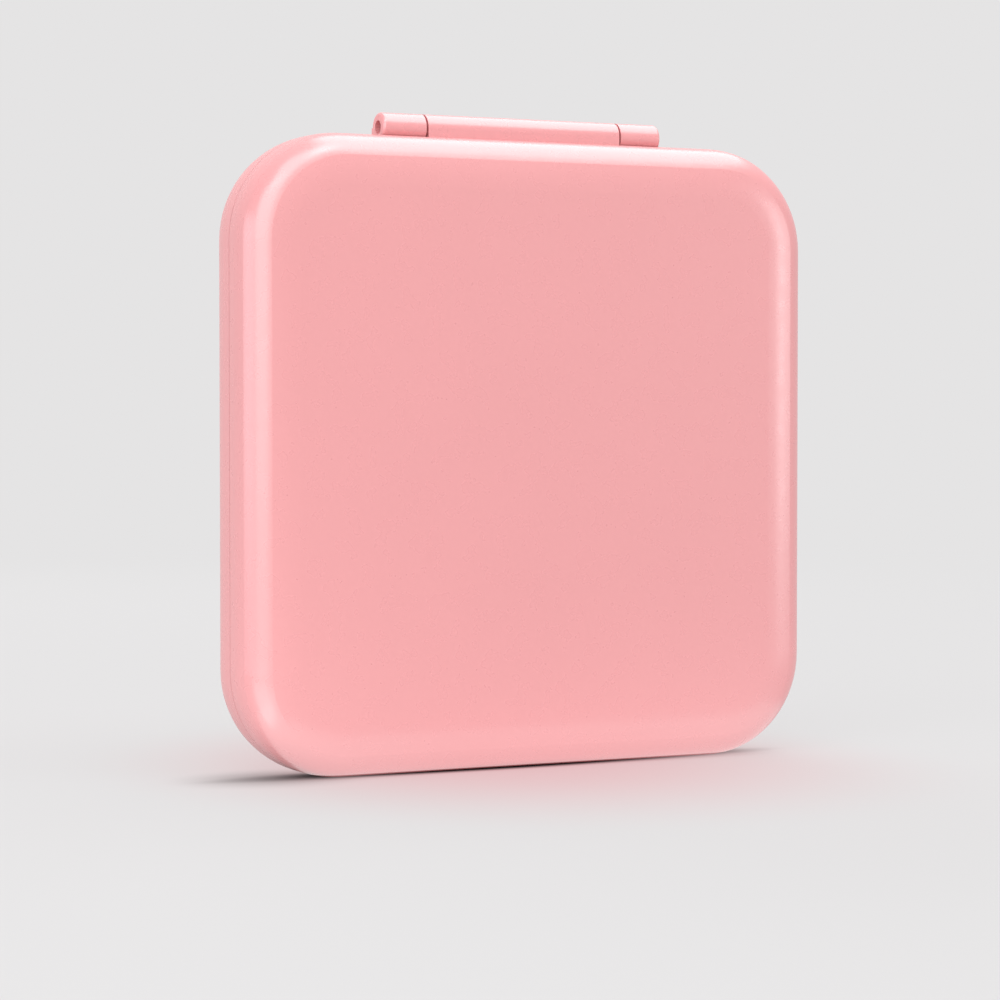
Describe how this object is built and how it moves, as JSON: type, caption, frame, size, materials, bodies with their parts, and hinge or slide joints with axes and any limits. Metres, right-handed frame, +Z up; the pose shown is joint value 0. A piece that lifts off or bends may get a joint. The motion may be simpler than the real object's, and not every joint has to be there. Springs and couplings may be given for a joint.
{
  "type": "contact lens case",
  "caption": "Slim rounded-square travel case for contact lenses, hinged along one edge, holding a mirror, a twin lens case with screw caps, soft-tip tweezers and a suction stick.",
  "frame": {"origin": "centre of the bounding box's underside: the middle of the edge that the closed case stands on, at the plane where the shells part", "axes": "+Z up from the standing edge to the hinge barrel, +Y from the lid through to the base, +X to the right as seen from the lid side"},
  "size_m": [0.086, 0.015, 0.0892],
  "materials": {
    "shell_pink": "satin, faintly pearly",
    "cap_pink": "semi-gloss",
    "tray_blush": "fine matt grain",
    "case_white": "semi-gloss",
    "tool_white": "satin",
    "pin_steel": "drawn wire",
    "magnet_nickel": "nickel plate",
    "mirror_glass": "polished",
    "foam_tape": "matt foam",
    "silicone_clear": "satin silicone",
    "silicone_pink": "satin silicone"
  },
  "bodies": {
    "base": {"base_shell": "shell_pink", "inner_tray": "tray_blush", "hinge_pin": "pin_steel", "base_magnet_left": "magnet_nickel", "base_magnet_right": "magnet_nickel"},
    "lid": {"lid_shell": "shell_pink", "mirror": "mirror_glass", "mirror_pad": "foam_tape", "mirror_bezel": "tray_blush", "lid_magnet_left": "magnet_nickel", "lid_magnet_right": "magnet_nickel"},
    "lens_case": {"lens_case_body": "case_white"},
    "left_seal": {"left_cap_seal": "silicone_clear"},
    "left_cap": {"left_cap": "cap_pink"},
    "right_seal": {"right_cap_seal": "silicone_clear"},
    "right_cap": {"right_cap": "cap_pink"},
    "tweezers": {"tweezer_heel": "tool_white"},
    "upper_arm": {"tweezer_upper_arm": "tool_white", "tweezer_upper_tip": "silicone_pink"},
    "lower_arm": {"tweezer_lower_arm": "tool_white", "tweezer_lower_tip": "silicone_pink"},
    "stick": {"stick_handle": "cap_pink", "suction_cup": "silicone_clear"}
  },
  "joints": [
    {"name": "lid_hinge", "type": "hinge", "parent": "base", "child": "lid", "pos_m": [0, 0, 0.0872], "axis": [-1, 0, 0], "range_deg": [0, 180]},
    {"name": "lens_case_lift", "type": "slide", "parent": "base", "child": "lens_case", "axis": [0, -1, 0], "range_m": [0, 0.0045]},
    {"name": "left_cap_rise", "type": "slide", "parent": "lens_case", "child": "left_seal", "axis": [0, -1, 0], "range_m": [0, 0.001]},
    {"name": "left_cap_turn", "type": "hinge", "parent": "left_seal", "child": "left_cap", "pos_m": [-0.0185, 0, 0.024], "axis": [0, -1, 0], "range_deg": [0, 180]},
    {"name": "right_cap_rise", "type": "slide", "parent": "lens_case", "child": "right_seal", "axis": [0, -1, 0], "range_m": [0, 0.001]},
    {"name": "right_cap_turn", "type": "hinge", "parent": "right_seal", "child": "right_cap", "pos_m": [0.0185, 0, 0.024], "axis": [0, -1, 0], "range_deg": [0, 180]},
    {"name": "tweezers_lift", "type": "slide", "parent": "base", "child": "tweezers", "axis": [0, -1, 0], "range_m": [0, 0.004]},
    {"name": "upper_arm_squeeze", "type": "hinge", "parent": "tweezers", "child": "upper_arm", "pos_m": [-0.027, 0.0029, 0.05394], "axis": [0, 1, 0], "range_deg": [0, 2.4], "stiffness_Nm_per_rad": 0.2},
    {"name": "lower_arm_squeeze", "type": "hinge", "parent": "tweezers", "child": "lower_arm", "pos_m": [-0.027, 0.0029, 0.05006], "axis": [0, 1, 0], "range_deg": [-2.4, 0], "stiffness_Nm_per_rad": 0.2},
    {"name": "stick_lift", "type": "slide", "parent": "base", "child": "stick", "axis": [0, -1, 0], "range_m": [0, 0.004]}
  ],
  "couplings": [
    {"joint": "lens_case_lift", "follows": "lid_hinge", "m_per_rad": 0.00143},
    {"joint": "tweezers_lift", "follows": "lid_hinge", "m_per_rad": 0.00127},
    {"joint": "stick_lift", "follows": "lid_hinge", "m_per_rad": 0.00127},
    {"joint": "left_cap_rise", "follows": "left_cap_turn", "m_per_rad": 0.000318},
    {"joint": "right_cap_rise", "follows": "right_cap_turn", "m_per_rad": 0.000318},
    {"joint": "lower_arm_squeeze", "follows": "upper_arm_squeeze", "ratio": -1}
  ]
}
